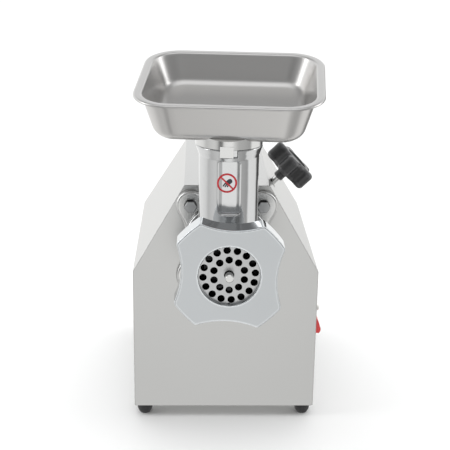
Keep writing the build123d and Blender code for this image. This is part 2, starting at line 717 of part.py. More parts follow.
reset_plane = right_wall.shift_origin((body_width / 2, switch_y, reset_z))
with BuildPart() as reset_breaker:
    with BuildSketch(reset_plane.offset(0.02)):
        Circle(reset_nut)
    extrude(amount=2.6)
    with BuildSketch(reset_plane.offset(0.1)):
        Circle(reset_collar - 0.1)
    extrude(amount=-3)
    with BuildSketch(reset_plane.offset(-2)):
        Rectangle(14, 13.4)
    extrude(amount=-28)
    with BuildSketch(reset_plane.offset(3)):
        Circle(3.5)
    extrude(amount=-9, mode=Mode.SUBTRACT)
write(reset_breaker, "reset_breaker")

with BuildPart() as reset_button:
    with BuildSketch(reset_plane.offset(-3)):
        Circle(3.2)
    extrude(amount=8.4)
    fillet(reset_button.faces().sort_by(Axis.X)[-1].edges(), 0.8)
write(reset_button, "reset_button")

with BuildPart() as gland_body:
    ring(269, body_depth + 1, 0, gland_thread, z=gland_z, x=gland_x)
    with BuildSketch(facing(body_depth + 0.02)):
        with Locations((gland_x, gland_z)):
            RegularPolygon(9.2, 6)
    extrude(amount=-5)
    ring(body_depth + 4, body_depth + 11, 0, 7.0, z=gland_z, x=gland_x)
    ring(268, body_depth + 6, 0, 4.6, z=gland_z, x=gland_x, mode=Mode.SUBTRACT)
    ring(body_depth + 3, body_depth + 12, 0, 5.5, z=gland_z, x=gland_x, mode=Mode.SUBTRACT)
write(gland_body, "gland_body")

with BuildPart() as gland_locknut:
    with BuildSketch(facing(body_depth - sheet)):
        with Locations((gland_x, gland_z)):
            RegularPolygon(9.2, 6)
            Circle(gland_thread + 0.03, mode=Mode.SUBTRACT)
    extrude(amount=4)
write(gland_locknut, "gland_locknut")

with BuildPart() as gland_seal:
    ring(body_depth + 3.1, body_depth + 13, gland_bore, 5.45, z=gland_z, x=gland_x)
write(gland_seal, "gland_seal")

with BuildPart() as gland_cap:
    turned([(body_depth + 5.3, 7.05), (body_depth + 13.1, 7.05), (body_depth + 13.1, 4.3),
            (body_depth + 16, 4.3), (body_depth + 16, 6.2), (body_depth + 12.5, 8.8), (body_depth + 5.3, 8.8)],
           z=gland_z, x=gland_x)
write(gland_cap, "gland_cap")

# ======================= clamp screw =======================

with BuildPart() as clamp_pad:
    with BuildSketch(across_clamp(pad_start)):
        Circle(screw_radius - 0.05)
    extrude(amount=pad_length)
write(clamp_pad, "clamp_pad")

with BuildPart() as clamp_screw:
    with BuildSketch(across_clamp(pad_start + pad_length + 0.3)):
        Circle(screw_radius)
    extrude(amount=knob_start + 14 - pad_start - pad_length)
    chamfer(clamp_screw.edges().filter_by(GeomType.CIRCLE), 0.8)
write(clamp_screw, "clamp_screw")

with BuildPart() as star_knob:
    with BuildSketch(across_clamp(knob_start)) as star:
        Circle(23)
        with PolarLocations(22.5, 5, knob_turn):
            Circle(8.2)
        fillet(star.vertices(), 5)
    extrude(amount=knob_end - knob_start)
    fillet(star_knob.faces().sort_by(SortBy.AREA)[-2:].edges(), 3)
    with BuildSketch(across_clamp(knob_start - 10)):
        Circle(6.2)
    extrude(amount=11)
    with BuildSketch(across_clamp(knob_end)):
        Circle(13)
    extrude(amount=-1.6, mode=Mode.SUBTRACT)
    with BuildSketch(across_clamp(knob_start - 11)):
        Circle(screw_radius + 0.02)
    extrude(amount=25.6, mode=Mode.SUBTRACT)
write(star_knob, "star_knob")

# ======================= grinding head =======================

with BuildPart() as grinder_head:
    # barrel with its rear spigot and round seat against the mounting flange
    turned([(spigot_end, 0), (spigot_end, spigot_radius), (seat_face, spigot_radius), (seat_face, seat_radius),
            (seat_face - 7, seat_radius), (seat_face - 16, 42), (-60, 39), (nut_rear + 1, nut_radius_seat),
            (nut_rear + 1, nose_radius), (nose_front, nose_radius), (nose_front, 0)])
    chamfer(grinder_head.faces().sort_by(Axis.Y)[-1].edges(), 1.2)
    # throat with its flared mouth
    with BuildSketch(Plane.XY.offset(axis_z)):
        with Locations((0, throat_y)):
            Circle(throat_radius)
    extrude(amount=throat_top - 12.5 - axis_z)
    upright([(0, throat_top - 12.5), (throat_radius, throat_top - 12.5), (throat_radius + 2.2, throat_top - 6),
             (throat_radius + 4, throat_top - 1.5), (throat_radius + 4, throat_top), (0, throat_top)], 0, throat_y)
    # flat down the throat's front, with rounded lower corners
    with BuildSketch(facing(flat_y)) as flat:
        with BuildLine():
            Polyline((-flat_width / 2, throat_top + 6), (-flat_width / 2, flat_bottom), (flat_width / 2, flat_bottom),
                     (flat_width / 2, throat_top + 6), close=True)
        make_face()
        fillet(flat.vertices().group_by(Axis.Z)[0], 4)
    extrude(amount=30, mode=Mode.SUBTRACT)
    # bores
    ring(chamber_rear, nose_front - 1, 0, chamber_radius, mode=Mode.SUBTRACT)
    ring(chamber_rear - 1, -9, 0, auger_bore, mode=Mode.SUBTRACT)
    ring(-10, 48, 0, bush_radius, mode=Mode.SUBTRACT)
    ring(47, spigot_end + 1, 0, 20, mode=Mode.SUBTRACT)
    with BuildSketch(Plane.XY.offset(axis_z)):
        with Locations((0, throat_y)):
            Circle(throat_foot_bore)
    extrude(amount=60, mode=Mode.SUBTRACT)
    with BuildSketch(Plane.XY.offset(throat_step)):
        with Locations((0, throat_y)):
            Circle(throat_bore)
    extrude(amount=200, mode=Mode.SUBTRACT)
    with BuildSketch(Plane.XY.offset(throat_top - 16)):
        with Locations((0, throat_y)):
            Circle(neck_bore + 2)
    extrude(amount=20, mode=Mode.SUBTRACT)
    # half-round seat of the plate's key pin
    ring(key_pin_span[0] - 1, key_pin_span[1] + 0.3, 0, 2.45, z=axis_z - chamber_radius, mode=Mode.SUBTRACT)
write(grinder_head, "grinder_head")

with BuildPart() as plate_key_pin:
    ring(*key_pin_span, 0, 2.4, z=axis_z - chamber_radius)
write(plate_key_pin, "plate_key_pin")

with BuildPart() as head_bush:
    ring(-9, 47, shank_radius + 0.06, bush_radius)
write(head_bush, "head_bush")

with BuildPart() as thrust_washer:
    ring(-12.05, -9, shank_radius + 0.4, 22)
write(thrust_washer, "thrust_washer")

with BuildPart() as auger:
    # one worm flight as a lobed section twisted along the axis
    with BuildSketch(facing(auger_rear)) as lobe:
        with Locations((0, axis_z)):
            Circle(14)
        with BuildLine():
            half = math.radians(auger_lobe / 2)
            outer, inner = auger_bore - 1.1, 13.0
            tip_left = (-outer * math.sin(half), axis_z + outer * math.cos(half))
            tip_right = (outer * math.sin(half), axis_z + outer * math.cos(half))
            foot_left = (-inner * math.sin(2.4 * half), axis_z + inner * math.cos(2.4 * half))
            foot_right = (inner * math.sin(2.4 * half), axis_z + inner * math.cos(2.4 * half))
            ThreePointArc(tip_left, (0, axis_z + outer), tip_right)
            Polyline(tip_right, foot_right, foot_left, tip_left)
        make_face()
    add(Solid.extrude_linear_with_rotation(
        lobe.sketch.faces()[0], (0, auger_rear, axis_z), (0, auger_front - auger_rear, 0), auger_twist))
    # thrust shoulder, shank, driving tang and the knife's square
    ring(auger_rear - 0.5, -12.4, 0, 20)
    ring(-12.5, 47.5, 0, shank_radius)
    with BuildSketch(facing(72)):
        with Locations((0, axis_z)):
            Rectangle(tang_size, tang_size)
    extrude(amount=25)
    with BuildSketch(facing(auger_front + 1)):
        with Locations((0, axis_z)):
            Rectangle(knife_square, knife_square, rotation=45)
    extrude(amount=auger_front + 1 - plate_rear - 0.2)
    ring(plate_rear - 1, auger_front + 10, 0, stud_radius + 0.02, mode=Mode.SUBTRACT)
write(auger, "auger")

with BuildPart() as auger_stud:
    ring(stud_front, auger_front + 9.9, 0, stud_radius)
    chamfer(auger_stud.faces().sort_by(Axis.Y)[0].edges(), 0.7)
write(auger_stud, "auger_stud")

with BuildPart() as cutter_knife:
    with BuildSketch(facing(plate_rear + 0.3 + 8.6)) as cross:
        with Locations((0, axis_z)):
            Circle(13)
            with PolarLocations(22, 4, 20):
                Rectangle(22, 9)
        fillet(cross.vertices(), 1.2)
        with Locations((0, axis_z)):
            Rectangle(knife_square + 0.4, knife_square + 0.4, rotation=45, mode=Mode.SUBTRACT)
    extrude(amount=8.6)
    ring(plate_rear, plate_rear + 12, 33, 50, mode=Mode.SUBTRACT)
write(cutter_knife, "cutter_knife")

with BuildPart() as grinder_plate:
    with BuildSketch(facing(plate_rear)):
        with Locations((0, axis_z)):
            Circle(plate_radius)
            Circle(stud_radius + 1, mode=Mode.SUBTRACT)
            with PolarLocations(17, 10, 90.8):
                Circle(hole_radius, mode=Mode.SUBTRACT)
            with PolarLocations(28, 16, 95.3):
                Circle(hole_radius, mode=Mode.SUBTRACT)
            with Locations((0, -chamber_radius)):
                Circle(2.9, mode=Mode.SUBTRACT)
    extrude(amount=plate_rear - plate_front)
write(grinder_plate, "grinder_plate")

with BuildPart() as ring_nut:
    with BuildSketch(facing(nut_rear)) as square:
        with BuildLine():
            for quarter in range(4):
                def at(radius, angle):
                    turn = math.radians(angle + 90 * quarter + nut_turn)
                    return (radius * math.cos(turn), axis_z + radius * math.sin(turn))
                ThreePointArc(at(nut_corner, -30), at(nut_mid, 0), at(nut_corner, 30))
                ThreePointArc(at(nut_corner, 30), at(nut_corner - 1.2, 45), at(nut_corner, 60))
        make_face()
    extrude(amount=nut_rear - nut_front)
    fillet(ring_nut.edges().filter_by(Axis.Y), 2)
    fillet(ring_nut.faces().sort_by(Axis.Y)[0].outer_wire().edges(), 1.4)
    ring(nut_front - 1, nut_rear + 1, 0, nut_opening, mode=Mode.SUBTRACT)
    ring(plate_front - 0.15, nut_rear + 1, 0, nose_radius + 0.06, mode=Mode.SUBTRACT)
write(ring_nut, "ring_nut")

# ======================= feed tray =======================

turn, tilt = math.radians(tray_turn), math.radians(tray_tilt)
across = Vector(math.cos(turn), math.sin(turn), 0)
backwards = Vector(-math.sin(turn), math.cos(turn), 0)
rim_origin = Vector(0, throat_y, rim_centre_z) + backwards * rim_centre_y
rim_normal = backwards * -math.sin(tilt) + Vector(0, 0, math.cos(tilt))
rim_plane = Plane(origin=rim_origin, x_dir=across, z_dir=rim_normal)
# the floor slopes further down towards the throat than the rim does
floor_fall = floor_front_depth - floor_rear_depth
floor_run = floor_rear - floor_front
floor_place = Location(
    (0, (floor_front + floor_rear) / 2, -(floor_front_depth + floor_rear_depth) / 2),
    (math.degrees(math.atan2(floor_fall, floor_run)), 0, 0))
floor_plane = Plane(rim_plane * floor_place)
floor_length = math.hypot(floor_fall, floor_run)


def pan_form(grow):
    """Solid between the tray's opening and its floor, moved out by grow."""
    with BuildPart() as form:
        with BuildSketch(rim_plane):
            RectangleRounded(rim_width - 2 * lip_width + 2 * grow, rim_depth - 2 * lip_width + 2 * grow,
                             rim_corner - lip_width + grow)
        with BuildSketch(floor_plane.offset(-grow)):
            RectangleRounded(floor_width + 2 * grow, floor_length + 2 * grow, 24 + grow)
        loft(ruled=True)
        fillet(form.faces().sort_by(Axis.Z)[0].edges(), tray_bottom + grow)
    return form.part


with BuildPart() as tray_pan:
    add(pan_form(tray_sheet))
    with BuildSketch(rim_plane):
        RectangleRounded(rim_width, rim_depth, rim_corner)
    extrude(amount=-tray_sheet)
    add(pan_form(0), mode=Mode.SUBTRACT)
    with BuildSketch(Plane.XY.offset(throat_top)):
        with Locations((0, throat_y)):
            Circle(neck_bore)
    extrude(amount=60, mode=Mode.SUBTRACT)
write(tray_pan, "tray_pan")

with BuildPart() as tray_neck:
    # welded collar under the tray: a spigot in the throat and a ring on its rim
    upright([(neck_bore, throat_top - 15), (neck_bore + 1.6, throat_top - 15), (neck_bore + 1.6, throat_top + 0.3),
             (throat_radius + 4, throat_top + 0.3), (throat_radius + 4, throat_top + 60),
             (neck_bore, throat_top + 60)], 0, throat_y)
    # tab that keeps the tray from turning, in the flat of the throat
    with Locations(Location((0, throat_y, throat_top), (0, 0, tray_turn))):
        with Locations((0, flat_y - throat_y - 4.0, -2)):
            Box(14.4, 5.2, 12)
    # it ends on the underside of the pan
    with BuildSketch(floor_plane.offset(6)):
        Rectangle(400, 400)
    extrude(amount=200, mode=Mode.SUBTRACT)
    add(pan_form(tray_sheet), mode=Mode.SUBTRACT)
write(tray_neck, "tray_neck")
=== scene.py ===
import bmesh
import bpy
import json
import math
import numpy as np
from mathutils import Matrix, Vector


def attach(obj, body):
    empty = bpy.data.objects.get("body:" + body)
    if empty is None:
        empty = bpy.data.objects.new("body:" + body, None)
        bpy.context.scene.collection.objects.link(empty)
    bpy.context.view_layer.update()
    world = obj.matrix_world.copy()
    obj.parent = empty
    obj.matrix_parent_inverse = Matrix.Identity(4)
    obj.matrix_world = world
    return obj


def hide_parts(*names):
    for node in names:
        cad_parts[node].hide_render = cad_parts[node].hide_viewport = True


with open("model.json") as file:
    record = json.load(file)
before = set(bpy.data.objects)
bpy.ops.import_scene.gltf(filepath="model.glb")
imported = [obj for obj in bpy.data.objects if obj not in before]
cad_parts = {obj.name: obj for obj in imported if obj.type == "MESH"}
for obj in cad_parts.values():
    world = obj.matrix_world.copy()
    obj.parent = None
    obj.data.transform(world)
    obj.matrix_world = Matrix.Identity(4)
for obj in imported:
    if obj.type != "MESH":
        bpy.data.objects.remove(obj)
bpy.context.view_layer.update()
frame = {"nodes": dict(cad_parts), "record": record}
nodes = frame["nodes"]

AXIS_Z = 232.0      # height of the output axis; this and all shapes below are in millimetres

# ---------------------------------------------------------------- camera
CAMERA_AT = Vector((-0.03495, -1.13505, 0.62342))
CAMERA_PITCH, CAMERA_YAW, CAMERA_ROLL = math.radians(-18.2), math.radians(1.67), math.radians(0.83)
CAMERA_LENS, CAMERA_SENSOR = 82.08, 36


def add_camera():
    forward = Vector((math.sin(CAMERA_YAW) * math.cos(CAMERA_PITCH),
                      math.cos(CAMERA_YAW) * math.cos(CAMERA_PITCH), math.sin(CAMERA_PITCH)))
    level = forward.cross(Vector((0, 0, 1))).normalized()
    upright = level.cross(forward)
    right = math.cos(CAMERA_ROLL) * level + math.sin(CAMERA_ROLL) * upright
    up = -math.sin(CAMERA_ROLL) * level + math.cos(CAMERA_ROLL) * upright
    data = bpy.data.cameras.new("camera")
    data.sensor_width = CAMERA_SENSOR
    data.lens = CAMERA_LENS
    data.clip_start, data.clip_end = 0.01, 50
    data.dof.use_dof = False
    camera = bpy.data.objects.new("camera", data)
    camera.matrix_world = Matrix((
        (right.x, up.x, -forward.x, CAMERA_AT.x),
        (right.y, up.y, -forward.y, CAMERA_AT.y),
        (right.z, up.z, -forward.z, CAMERA_AT.z),
        (0, 0, 0, 1)))
    bpy.context.scene.collection.objects.link(camera)
    bpy.context.scene.camera = camera


# ---------------------------------------------------------------- node helpers
class Graph:
    """A new material's node tree with short calls for the nodes used here."""

    def __init__(self, name):
        self.material = bpy.data.materials.new(name)
        self.material.use_nodes = True
        self.tree = self.material.node_tree
        self.shader = next(n for n in self.tree.nodes if n.type == "BSDF_PRINCIPLED")
        self.place = self.add("ShaderNodeTexCoord").outputs["Object"]

    def add(self, kind, **values):
        node = self.tree.nodes.new(kind)
        for key, value in values.items():
            setattr(node, key, value)
        return node

    def link(self, source, target):
        self.tree.links.new(source, target)

    def put(self, socket, value):
        if isinstance(value, bpy.types.NodeSocket):
            self.link(value, socket)
        else:
            socket.default_value = value

    def noise(self, scale, detail, rough, stretch=(1, 1, 1)):
        mapping = self.add("ShaderNodeMapping")
        self.link(self.place, mapping.inputs["Vector"])
        mapping.inputs["Scale"].default_value = stretch
        node = self.add("ShaderNodeTexNoise")
        self.link(mapping.outputs["Vector"], node.inputs["Vector"])
        node.inputs["Scale"].default_value = scale
        node.inputs["Detail"].default_value = detail
        node.inputs["Roughness"].default_value = rough
        return node.outputs["Fac"]

    def split(self, vector):
        node = self.add("ShaderNodeSeparateXYZ")
        self.link(vector, node.inputs[0])
        return node.outputs

    def ramp(self, value, low, high, to_low=0.0, to_high=1.0):
        node = self.add("ShaderNodeMapRange")
        self.put(node.inputs["Value"], value)
        for key, number in (("From Min", low), ("From Max", high), ("To Min", to_low), ("To Max", to_high)):
            node.inputs[key].default_value = number
        return node.outputs["Result"]

    def math(self, kind, a, b=0.0):
        node = self.add("ShaderNodeMath", operation=kind)
        self.put(node.inputs[0], a)
        self.put(node.inputs[1], b)
        return node.outputs[0]

    def mix(self, factor, a, b):
        node = self.add("ShaderNodeMix", data_type="RGBA")
        self.put(node.inputs["Factor"], factor)
        self.put(node.inputs[6], a)
        self.put(node.inputs[7], b)
        return node.outputs[2]

    def bump(self, height, strength, distance, normal=None):
        node = self.add("ShaderNodeBump")
        self.put(node.inputs["Height"], height)
        node.inputs["Strength"].default_value = strength
        node.inputs["Distance"].default_value = distance
        if normal is not None:
            self.link(normal, node.inputs["Normal"])
        return node.outputs["Normal"]

    def edge_wear_and_highlight(self):
        """1 along convex edges, 0 elsewhere."""
        point = self.add("ShaderNodeNewGeometry").outputs["Pointiness"]
        return self.ramp(point, 0.502, 0.53)


FINE_DEPTH = 0.0002     # depth in metres of a finish's fine grain


def rgba(colour):
    return (*colour, 1.0)


def shade(colour, factor):
    return tuple(min(1.0, c * factor) for c in colour)


def metal(name, colour, rough, grain=(1, 1, 1), grain_scale=900.0, grain_bump=0.05, cloud=0.04,
          streak_rough=0.08, edges=0.0, wave=0.0, painted_shade_sides=False, bright_sides=False, painted_shade_bore=0.0):
    """Steel or aluminium: fine grain stretched along the finish, slow colour clouds, worn edges.

    painted_shade_sides blackens the faces that don't look along Y as painted shade, and bright_sides polishes
    them.
    painted_shade_bore is the radius in metres inside which painted shade darkens the hole round the output
    axis.
    """
    g = Graph(name)
    fine = g.noise(grain_scale, 6, 0.6, grain)
    slow = g.noise(9, 3, 0.5)
    pale = rgba(shade(colour, 1 + cloud))
    mottled = g.mix(g.ramp(slow, 0.3, 0.7), rgba(shade(colour, 1 - cloud)), pale)
    grained = g.mix(g.ramp(fine, 0.3, 0.7), rgba(shade(colour, 1 - cloud * 1.2)), pale)
    base = g.mix(0.5, mottled, grained)
    roughness = g.ramp(fine, 0.25, 0.75, rough - streak_rough, rough + streak_rough)
    if edges:
        worn = g.edge_wear_and_highlight()
        base = g.mix(worn, base, rgba(shade(colour, 1.25)))
        roughness = g.math("SUBTRACT", roughness, g.math("MULTIPLY", worn, edges))
    if painted_shade_sides or bright_sides:
        facing = g.split(g.add("ShaderNodeTexCoord").outputs["Normal"])
        flat = g.ramp(g.math("ABSOLUTE", facing["Y"]), 0.5, 0.9)
    if bright_sides:
        base = g.mix(flat, rgba(shade(colour, 1.05)), base)
        roughness = g.math("MULTIPLY", roughness, g.ramp(flat, 0.0, 1.0, 0.3, 1.0))
    # painted shade: the walls of the hole round the output axis are made near black and dull, where little
    # light reaches
    if painted_shade_bore:
        spot = g.split(g.place)
        height = g.math("SUBTRACT", spot["Z"], AXIS_Z / 1000)
        radius = g.math("SQRT", g.math("ADD", g.math("MULTIPLY", spot["X"], spot["X"]),
                                       g.math("MULTIPLY", height, height)))
        in_front = g.ramp(spot["Y"], -0.008, -0.010)
        painted_shade_walls = g.math("MULTIPLY", g.ramp(radius, painted_shade_bore + 0.0004, painted_shade_bore), in_front)
        base = g.mix(painted_shade_walls, base, (0.03, 0.03, 0.03, 1))
        roughness = g.math("MAXIMUM", roughness, g.ramp(painted_shade_walls, 0.0, 1.0, 0.0, 0.6))
    # painted shade: faces that don't look along Y are made near black and dull, so the plate's holes and
    # sides read shaded
    if painted_shade_sides:
        base = g.mix(flat, (0.008, 0.008, 0.009, 1), base)
        roughness = g.math("MAXIMUM", roughness, g.ramp(flat, 0.0, 1.0, 0.7, 0.0))
    g.link(base, g.shader.inputs["Base Color"])
    g.link(roughness, g.shader.inputs["Roughness"])
    g.shader.inputs["Metallic"].default_value = 1.0
    normal = g.bump(fine, grain_bump, FINE_DEPTH)
    if wave:
        normal = g.bump(g.noise(35, 2, 0.4), wave, 0.002, normal)
    g.link(normal, g.shader.inputs["Normal"])
    return g.material


def plastic(name, colour, rough, spec=0.5, cloud=0.10, bump=0.06, scale=700.0, edges=0.35, coat=0.0):
    """Moulded plastic or rubber: fine moulded grain, slight mottling, paler edges."""
    g = Graph(name)
    fine = g.noise(scale, 5, 0.6)
    slow = g.noise(22, 4, 0.55)
    base = g.mix(g.ramp(slow, 0.3, 0.7), rgba(shade(colour, 1 - cloud)), rgba(shade(colour, 1 + cloud)))
    # paler convex edges: wear on most parts; where edges is large, as on the star knob, also a painted
    # highlight along the edges
    worn = g.edge_wear_and_highlight()
    pale = tuple(min(1.0, c * (1 + edges) + 0.03 * edges) for c in colour)
    base = g.mix(worn, base, rgba(pale))
    g.link(base, g.shader.inputs["Base Color"])
    g.link(g.ramp(fine, 0.2, 0.8, rough - 0.06, rough + 0.06), g.shader.inputs["Roughness"])
    g.shader.inputs["Specular IOR Level"].default_value = spec
    g.shader.inputs["Coat Weight"].default_value = coat
    g.link(g.bump(fine, bump, FINE_DEPTH), g.shader.inputs["Normal"])
    return g.material


# ---------------------------------------------------------------- mesh helpers
def piece(name, verts, faces, body, node, look):
    """A smooth new object with points in metres, which rides on a body and may replace a CAD node."""
    mesh = bpy.data.meshes.new(name)
    mesh.from_pydata([tuple(v) for v in verts], [], [tuple(f) for f in faces])
    mesh.update()
    mesh.shade_smooth()
    thing = bpy.data.objects.new(name, mesh)
    bpy.context.scene.collection.objects.link(thing)
    mesh.materials.append(look)
    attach(thing, body)
    if node:
        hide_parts(node)
    return thing


CORNERS = np.array([(a, b, c) for a in (0, 1) for b in (0, 1) for c in (0, 1)])
CELL_EDGES = [(i, j) for i in range(8) for j in range(i + 1, 8) if np.abs(CORNERS[i] - CORNERS[j]).sum() == 1]


def slopes(field, points, step):
    """Gradient of a field at some points, by central differences."""
    result = np.empty_like(points)
    for axis in range(3):
        offset = np.zeros(3)
        offset[axis] = step
        ahead, behind = points + offset, points - offset
        result[:, axis] = (field(*ahead.T) - field(*behind.T)) / (2 * step)
    return result


def cast(name, field, low, high, cell, body, node, look):
    """A closed mesh on the zero surface of a signed distance field in millimetres, by surface nets."""
    low, high = np.array(low, float), np.array(high, float)
    counts = np.ceil((high - low) / cell).astype(int) + 1
    axes = [low[a] + cell * np.arange(counts[a]) for a in range(3)]
    value = field(axes[0][:, None, None], axes[1][None, :, None], axes[2][None, None, :])
    value = np.broadcast_to(value, counts).copy()
    inside = value < 0
    filled = sum(inside[a:counts[0] - 1 + a, b:counts[1] - 1 + b, c:counts[2] - 1 + c].astype(np.int8)
                 for a, b, c in CORNERS)
    cells = np.argwhere((filled > 0) & (filled < 8))
    number = np.full(counts - 1, -1)
    number[tuple(cells.T)] = np.arange(len(cells))
    total, crossings = np.zeros((len(cells), 3)), np.zeros(len(cells))
    for i, j in CELL_EDGES:
        a, b = cells + CORNERS[i], cells + CORNERS[j]
        va, vb = value[tuple(a.T)], value[tuple(b.T)]
        crossed = (va < 0) != (vb < 0)
        t = np.where(crossed, va / np.where(crossed, va - vb, 1), 0)
        total += crossed[:, None] * (CORNERS[i] + t[:, None] * (CORNERS[j] - CORNERS[i]))
        crossings += crossed
    points = low + cell * (cells + total / crossings[:, None])
    for _ in range(3):
        slope = slopes(field, points, 0.03)
        move = field(*points.T)[:, None] * slope / np.maximum((slope ** 2).sum(1), 0.05)[:, None]
        points -= np.clip(move, -cell / 2, cell / 2)
    faces = []
    for axis in range(3):
        u, v = (axis + 1) % 3, (axis + 2) % 3
        start, end = [slice(1, n - 1) for n in counts], [slice(1, n - 1) for n in counts]
        start[axis], end[axis] = slice(0, counts[axis] - 1), slice(1, counts[axis])
        a, b = inside[tuple(start)], inside[tuple(end)]
        for leaving, flip in ((a & ~b, False), (~a & b, True)):
            edge = np.argwhere(leaving)
            offset = np.ones(3, int)
            offset[axis] = 0
            edge = edge + offset
            ring = []
            for du, dv in ((-1, -1), (0, -1), (0, 0), (-1, 0)):
                corner = edge.copy()
                corner[:, u] += du
                corner[:, v] += dv
                ring.append(number[tuple(corner.T)])
            quad = np.stack(ring, 1)
            faces.append(quad[:, ::-1] if flip else quad)
    thing = piece(name, points / 1000, np.concatenate(faces).tolist(), body, node, look)
    slope = slopes(field, points, 0.15)
    normals = slope / np.linalg.norm(slope, axis=1)[:, None]
    thing.data.normals_split_custom_set_from_vertices(normals.tolist())


def soft_min(a, b, k):
    """Union with a fillet of about k."""
    h = np.maximum(k - np.abs(a - b), 0) / k
    return np.minimum(a, b) - h * h * k / 4


def soft_max(a, b, k):
    """Intersection with an edge rounded by about k."""
    return -soft_min(-a, -b, k)


def slab(outline, along, low, high, edge):
    """An outline's field carried between two planes, with a rounded edge."""
    across = outline + edge
    end = np.abs(along - (low + high) / 2) - (high - low) / 2 + edge
    return np.minimum(np.maximum(across, end), 0) + np.hypot(np.maximum(across, 0), np.maximum(end, 0)) - edge


def disc(radial, along, radius, low, high, edge):
    """Cylinder between two planes with a rounded edge."""
    return slab(radial - radius, along, low, high, edge)


# ---------------------------------------------------------------- grinding head and its flange
THROAT_Y, THROAT_TOP = -47.0, 360.0
# outside of the barrel along Y and of the throat's mouth along Z, as pairs of places and radii
BARREL = ((-95, -60, -26, -14), (40, 39, 42, 44))
MOUTH = ((344, 348, 354, 358.5, 362), (33, 33.15, 35.2, 37, 37))
BARREL_FRONT, BARREL_REAR = -94.5, -12
SEAT_RADIUS, SEAT_FRONT, SEAT_REAR = 50, -15.3, -8.3
NOSE_RADIUS, NOSE_FRONT, NOSE_REAR = 42, -113.6, -94
SPIGOT_RADIUS, SPIGOT_FRONT, SPIGOT_REAR = 30, -10, 72
# the sunk flat in the throat's front: where it lies, its outline, and the ramps along its sides
FLAT_Y, FLAT_HALF, FLAT_LOW, FLAT_HIGH, FLAT_CORNER = -76.5, 12.5, 287.0, 346.5, 4
RAMP_FROM, RAMP_SLOPE = 7.8, 0.24
# the notch in the mouth's rim for the tray's tab
NOTCH_HALF, NOTCH_LOW, NOTCH_BACK = 8.2, 351.2, -77.9
# radii of the bores, from the nose to the rear, and where each ends
PLATE_SEAT, PLATE_SEAT_END = 35.2, -97.5
WORM_BORE, WORM_BORE_END = 27.5, -9
BUSH_BORE, BUSH_BORE_END = 16, 48
REAR_BORE, REAR_BORE_START = 20, 47
THROAT_BORE, COLLAR_BORE, COLLAR_DEPTH = 25.0, 28.5, 16
FLANGE_RADIUS, FLANGE_FRONT, FLANGE_REAR = 49, -8.0, -0.04
BOLT_X, BOLT_Z, EAR_RADIUS, BOLT_HOLE = 42, 44, 16.5, 4.2


def window_outline(x, z):
    """The sunk flat's rounded outline."""
    across = np.abs(x) - FLAT_HALF + FLAT_CORNER
    upward = np.abs(z - (FLAT_LOW + FLAT_HIGH) / 2) - (FLAT_HIGH - FLAT_LOW) / 2 + FLAT_CORNER
    inner = np.minimum(np.maximum(across, upward), 0) - FLAT_CORNER
    return inner + np.hypot(np.maximum(across, 0), np.maximum(upward, 0))


def head_bores(radial, out, y, z):
    bore = np.minimum(np.maximum(radial - PLATE_SEAT, y - PLATE_SEAT_END),
                      np.maximum(radial - WORM_BORE, y - WORM_BORE_END))
    bore = np.minimum(bore, np.maximum(radial - BUSH_BORE, y - BUSH_BORE_END))
    bore = np.minimum(bore, np.maximum(radial - REAR_BORE, REAR_BORE_START - y))
    bore = np.minimum(bore, np.maximum(out - THROAT_BORE, AXIS_Z - z))
    return np.minimum(bore, np.maximum(out - COLLAR_BORE, THROAT_TOP - COLLAR_DEPTH - z))


def head_field(x, y, z):
    radial, out = np.hypot(x, z - AXIS_Z), np.hypot(x, y - THROAT_Y)
    shape = np.maximum(radial - np.interp(y, *BARREL), np.maximum(BARREL_FRONT - y, y - BARREL_REAR))
    shape = soft_min(shape, disc(radial, y, SEAT_RADIUS, SEAT_FRONT, SEAT_REAR, 2.5), 6)
    throat = soft_max(out - np.interp(z, *MOUTH), z - THROAT_TOP, 1.6)
    shape = soft_min(shape, np.maximum(throat, AXIS_Z - z), 9)
    ramp = RAMP_SLOPE * np.maximum(np.abs(x) - RAMP_FROM, 0)
    shape = soft_max(shape, -soft_max(window_outline(x, z), y - FLAT_Y + ramp, 1.0), 0.7)
    notch = np.maximum(np.abs(x) - NOTCH_HALF, np.maximum(NOTCH_LOW - z, y - NOTCH_BACK))
    shape = soft_max(shape, -notch, 0.8)
    shape = np.minimum(shape, disc(radial, y, NOSE_RADIUS, NOSE_FRONT, NOSE_REAR, 1.0))
    shape = np.minimum(shape, disc(radial, y, SPIGOT_RADIUS, SPIGOT_FRONT, SPIGOT_REAR, 1.2))
    return soft_max(shape, -head_bores(radial, out, y, z), 0.6)


def flange_field(x, y, z):
    u, v = np.abs(x), np.abs(z - AXIS_Z)
    radial, to_bolt = np.hypot(u, v), np.hypot(u - BOLT_X, v - BOLT_Z)
    outline = soft_min(radial - FLANGE_RADIUS, to_bolt - EAR_RADIUS, 26)
    shape = slab(outline, y, FLANGE_FRONT, FLANGE_REAR, 3.0)
    holes = np.minimum(radial - SPIGOT_RADIUS - 0.05, to_bolt - BOLT_HOLE)
    return soft_max(shape, -holes, 0.6)


# ---------------------------------------------------------------- ring nut
NUT_TURN, NUT_FRONT, NUT_REAR = math.radians(-2.5), -121.0, -95.0
NUT_OPENING, NUT_BORE, NUT_SHOULDER = 33.0, 42.06, -115.75
SIDE_CENTRE, SIDE_RADIUS = 140.8, 89.3          # the four hollow sides
CORNER_CENTRE, CORNER_RADIUS = -73.9, 139.7     # the four slightly crowned corners


